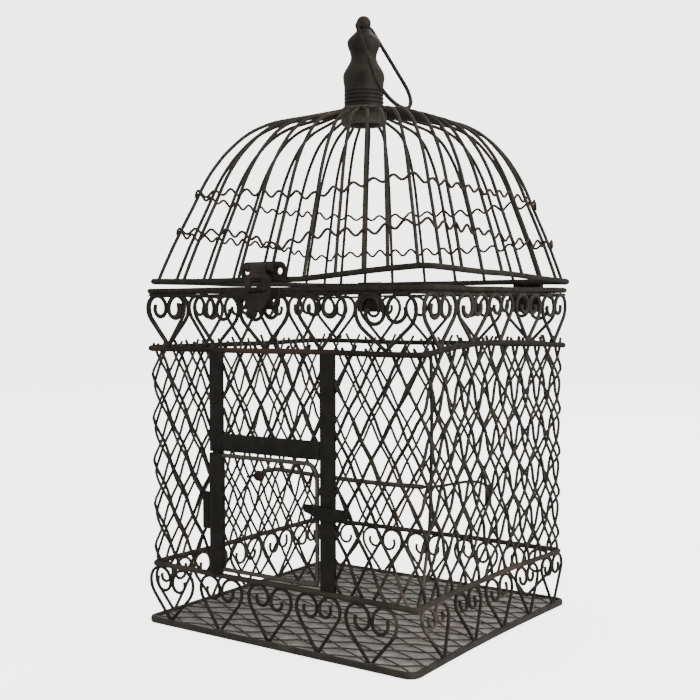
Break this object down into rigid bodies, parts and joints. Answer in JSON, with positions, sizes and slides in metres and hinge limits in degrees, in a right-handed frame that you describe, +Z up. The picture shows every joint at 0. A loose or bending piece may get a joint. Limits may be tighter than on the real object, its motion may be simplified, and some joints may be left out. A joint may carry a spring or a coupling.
{
  "type": "wire birdcage card box",
  "caption": "Rectangular wire birdcage for wedding cards: heart-scroll galleries, diamond mesh walls, latched front door, and a hinged domed lid with hasp, finial and ring",
  "frame": {"origin": "the middle of the base on the ground, under the middle of the walls", "axes": "+X to the right along the front, +Y from the front to the back, +Z up; the door and hasp face -Y"},
  "size_m": [0.2474, 0.241, 0.4558],
  "materials": {
    "aged_iron": "matte dark iron patina",
    "rusty_iron": "matte iron with rust-brown bloom",
    "dark_plate": "matte dark sheet iron with worn edges",
    "brown_turned": "satin dark brown",
    "grey_sheet": "dull grey weathered sheet"
  },
  "bodies": {
    "cage": {"base_frame": "aged_iron", "floor_sheet": "grey_sheet", "floor_mesh": "rusty_iron", "lower_scrolls_front": "aged_iron", "lower_scrolls_back": "aged_iron", "lower_scrolls_left": "aged_iron", "lower_scrolls_right": "aged_iron", "lower_rail": "rusty_iron", "mesh_back": "aged_iron", "mesh_left": "aged_iron", "mesh_right": "aged_iron", "mesh_front_left": "aged_iron", "mesh_front_right": "aged_iron", "mesh_over_door": "aged_iron", "seam_rod": "rusty_iron", "upper_rail": "rusty_iron", "upper_scrolls_front": "aged_iron", "upper_scrolls_back": "aged_iron", "upper_scrolls_left": "aged_iron", "upper_scrolls_right": "aged_iron", "top_rim": "aged_iron", "hinge_post": "dark_plate", "catch_post": "dark_plate", "door_header": "dark_plate", "hinge_leaf": "dark_plate", "perch_rod": "rusty_iron", "perch_bead": "brown_turned", "perch_loop": "rusty_iron", "perch_hook": "rusty_iron", "perch_clip": "dark_plate", "catch_plate": "dark_plate", "catch_knob": "dark_plate", "hinge_rim_leaves": "rusty_iron", "hinge_pins": "rusty_iron"},
    "door": {"door_sleeve": "dark_plate", "door_frame": "aged_iron", "door_mesh": "aged_iron"},
    "latch": {"door_latch": "dark_plate"},
    "lid": {"hinge_lid_leaves": "rusty_iron", "lid_rail": "aged_iron", "dome_ribs": "aged_iron", "lower_wave_wire": "aged_iron", "upper_wave_wire": "aged_iron", "crown_hub": "rusty_iron", "finial": "brown_turned", "finial_stud": "rusty_iron", "finial_nut": "rusty_iron", "hasp_plate": "dark_plate", "hasp_pin": "rusty_iron"},
    "hasp": {"hasp_tongue": "dark_plate"},
    "ring": {"bail_ring": "aged_iron"}
  },
  "joints": [
    {"name": "door_swing", "type": "hinge", "parent": "cage", "child": "door", "pos_m": [-0.053, -0.1065, 0.0893], "axis": [0, 0, -1], "range_deg": [0, 120]},
    {"name": "latch_turn", "type": "hinge", "parent": "door", "child": "latch", "pos_m": [0.0361, -0.1065, 0.0977], "axis": [0, 0, -1], "range_deg": [0, 100]},
    {"name": "lid_swing", "type": "hinge", "parent": "cage", "child": "lid", "pos_m": [0, 0.1123, 0.25175], "axis": [-1, 0, 0], "range_deg": [0, 110]},
    {"name": "hasp_swing", "type": "hinge", "parent": "lid", "child": "hasp", "pos_m": [-0.0085, -0.1135, 0.2632], "axis": [-1, 0, 0], "range_deg": [0, 110]},
    {"name": "ring_swing", "type": "hinge", "parent": "lid", "child": "ring", "pos_m": [0.003, 0, 0.4482], "axis": [0, -1, 0], "range_deg": [0, 303]}
  ]
}
